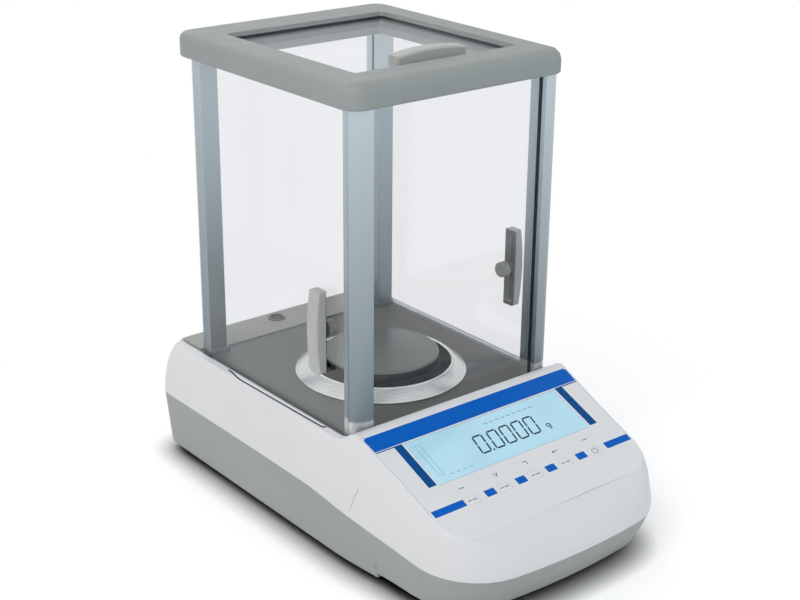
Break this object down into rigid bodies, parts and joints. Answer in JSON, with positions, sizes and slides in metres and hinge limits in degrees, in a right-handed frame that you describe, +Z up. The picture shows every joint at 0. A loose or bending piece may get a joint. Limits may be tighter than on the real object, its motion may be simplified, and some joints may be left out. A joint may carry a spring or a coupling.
{
  "type": "analytical balance",
  "caption": "Laboratory analytical balance with a glass draught shield, sliding doors, lift-off weighing pan, sloping keypad with display and levelling feet.",
  "frame": {"origin": "on the table under the middle of the balance, level with the bottom of its feet", "axes": "+X to the right of a user who faces the keypad, +Y from the keypad towards the rear, +Z up"},
  "size_m": [0.215, 0.385, 0.3576],
  "materials": {
    "shell": "fine satin moulding",
    "base": "satin paint on a cast tray",
    "frame": "satin moulding",
    "aluminium": "brushed and anodised",
    "steel": "polished stainless",
    "plate": "dark polished stainless sheet",
    "deck": "satin paint",
    "glass": "clear float glass",
    "handle": "satin moulding",
    "black": "matt black",
    "pad": "matt rubber",
    "overlay": "printed film",
    "key": "smooth film over a key",
    "display": "clear window over a liquid crystal display",
    "board": "green laminate",
    "liquid": "yellow-green vial",
    "iron": "dark magnet yoke"
  },
  "bodies": {
    "base": {"lower_base": "base", "upper_housing": "shell", "chamber_floor": "plate", "rear_deck": "deck", "left_sill": "shell", "right_sill": "shell", "level_bezel": "black", "level_vial": "liquid", "pan_carrier": "steel", "weigh_cell": "aluminium", "cell_lever": "aluminium", "cell_magnet": "iron", "post_front_left": "aluminium", "post_rear_left": "aluminium", "shoe_front_left": "deck", "shoe_rear_left": "deck", "post_front_right": "aluminium", "post_rear_right": "aluminium", "shoe_front_right": "deck", "shoe_rear_right": "deck", "top_frame": "frame", "front_glass": "glass", "rear_glass": "glass", "panel_overlay": "overlay", "display_window": "display", "display_module": "board", "keypad_board": "board", "hook_cover": "base", "power_inlet": "black", "serial_socket": "black", "usb_socket": "black", "main_board": "board", "screw_front_left": "steel", "screw_front_right": "steel", "screw_rear_left": "steel", "screw_rear_right": "steel"},
    "left_door_body": {"left_door": "glass", "left_handle": "handle", "left_knob": "handle"},
    "right_door_body": {"right_door": "glass", "right_handle": "handle", "right_knob": "handle"},
    "top_door_body": {"top_door": "glass", "top_handle": "handle", "top_knob": "handle"},
    "pan_body": {"weighing_pan": "steel"},
    "ring_body": {"draft_ring": "steel"},
    "key_print_body": {"key_print": "key"},
    "key_mode_body": {"key_mode": "key"},
    "key_calibrate_body": {"key_calibrate": "key"},
    "key_tare_body": {"key_tare": "key"},
    "key_power_body": {"key_power": "key"},
    "pad_front_left_body": {"pad_front_left": "pad"},
    "wheel_front_left_body": {"wheel_front_left": "black"},
    "pad_front_right_body": {"pad_front_right": "pad"},
    "wheel_front_right_body": {"wheel_front_right": "black"},
    "pad_rear_left_body": {"pad_rear_left": "pad"},
    "wheel_rear_left_body": {"wheel_rear_left": "black"},
    "pad_rear_right_body": {"pad_rear_right": "pad"},
    "wheel_rear_right_body": {"wheel_rear_right": "black"}
  },
  "joints": [
    {"name": "left_door_slide", "type": "slide", "parent": "base", "child": "left_door_body", "axis": [0, 1, 0], "range_m": [0, 0.132]},
    {"name": "right_door_slide", "type": "slide", "parent": "base", "child": "right_door_body", "axis": [0, 1, 0], "range_m": [0, 0.132]},
    {"name": "top_door_slide", "type": "slide", "parent": "base", "child": "top_door_body", "axis": [0, 1, 0], "range_m": [0, 0.13]},
    {"name": "pan_lift", "type": "slide", "parent": "base", "child": "pan_body", "axis": [0, 0, 1], "range_m": [0, 0.04]},
    {"name": "ring_lift", "type": "slide", "parent": "base", "child": "ring_body", "axis": [0, 0, 1], "range_m": [0, 0.03]},
    {"name": "key_print_press", "type": "slide", "parent": "base", "child": "key_print_body", "axis": [0, 0.3722, -0.9282], "range_m": [0, 0.0005], "stiffness_N_per_m": 1000},
    {"name": "key_mode_press", "type": "slide", "parent": "base", "child": "key_mode_body", "axis": [0, 0.3722, -0.9282], "range_m": [0, 0.0005], "stiffness_N_per_m": 1000},
    {"name": "key_calibrate_press", "type": "slide", "parent": "base", "child": "key_calibrate_body", "axis": [0, 0.3722, -0.9282], "range_m": [0, 0.0005], "stiffness_N_per_m": 1000},
    {"name": "key_tare_press", "type": "slide", "parent": "base", "child": "key_tare_body", "axis": [0, 0.3722, -0.9282], "range_m": [0, 0.0005], "stiffness_N_per_m": 1000},
    {"name": "key_power_press", "type": "slide", "parent": "base", "child": "key_power_body", "axis": [0, 0.3722, -0.9282], "range_m": [0, 0.0005], "stiffness_N_per_m": 1000},
    {"name": "foot_front_left_height", "type": "slide", "parent": "base", "child": "pad_front_left_body", "axis": [0, 0, -1], "range_m": [-0.0025, 0.004]},
    {"name": "wheel_front_left_turn", "type": "hinge", "parent": "pad_front_left_body", "child": "wheel_front_left_body", "pos_m": [-0.078, -0.113, 0.006], "axis": [0, 0, -1], "range_deg": [-735, 1167]},
    {"name": "foot_front_right_height", "type": "slide", "parent": "base", "child": "pad_front_right_body", "axis": [0, 0, -1], "range_m": [-0.0025, 0.004]},
    {"name": "wheel_front_right_turn", "type": "hinge", "parent": "pad_front_right_body", "child": "wheel_front_right_body", "pos_m": [0.078, -0.113, 0.006], "axis": [0, 0, -1], "range_deg": [-735, 1167]},
    {"name": "foot_rear_left_height", "type": "slide", "parent": "base", "child": "pad_rear_left_body", "axis": [0, 0, -1], "range_m": [-0.0025, 0.004]},
    {"name": "wheel_rear_left_turn", "type": "hinge", "parent": "pad_rear_left_body", "child": "wheel_rear_left_body", "pos_m": [-0.078, 0.16, 0.006], "axis": [0, 0, -1], "range_deg": [-735, 1167]},
    {"name": "foot_rear_right_height", "type": "slide", "parent": "base", "child": "pad_rear_right_body", "axis": [0, 0, -1], "range_m": [-0.0025, 0.004]},
    {"name": "wheel_rear_right_turn", "type": "hinge", "parent": "pad_rear_right_body", "child": "wheel_rear_right_body", "pos_m": [0.078, 0.16, 0.006], "axis": [0, 0, -1], "range_deg": [-735, 1167]}
  ],
  "couplings": [
    {"joint": "wheel_front_left_turn", "follows": "foot_front_left_height", "rad_per_m": 5026.5},
    {"joint": "wheel_front_right_turn", "follows": "foot_front_right_height", "rad_per_m": 5026.5},
    {"joint": "wheel_rear_left_turn", "follows": "foot_rear_left_height", "rad_per_m": 5026.5},
    {"joint": "wheel_rear_right_turn", "follows": "foot_rear_right_height", "rad_per_m": 5026.5}
  ]
}
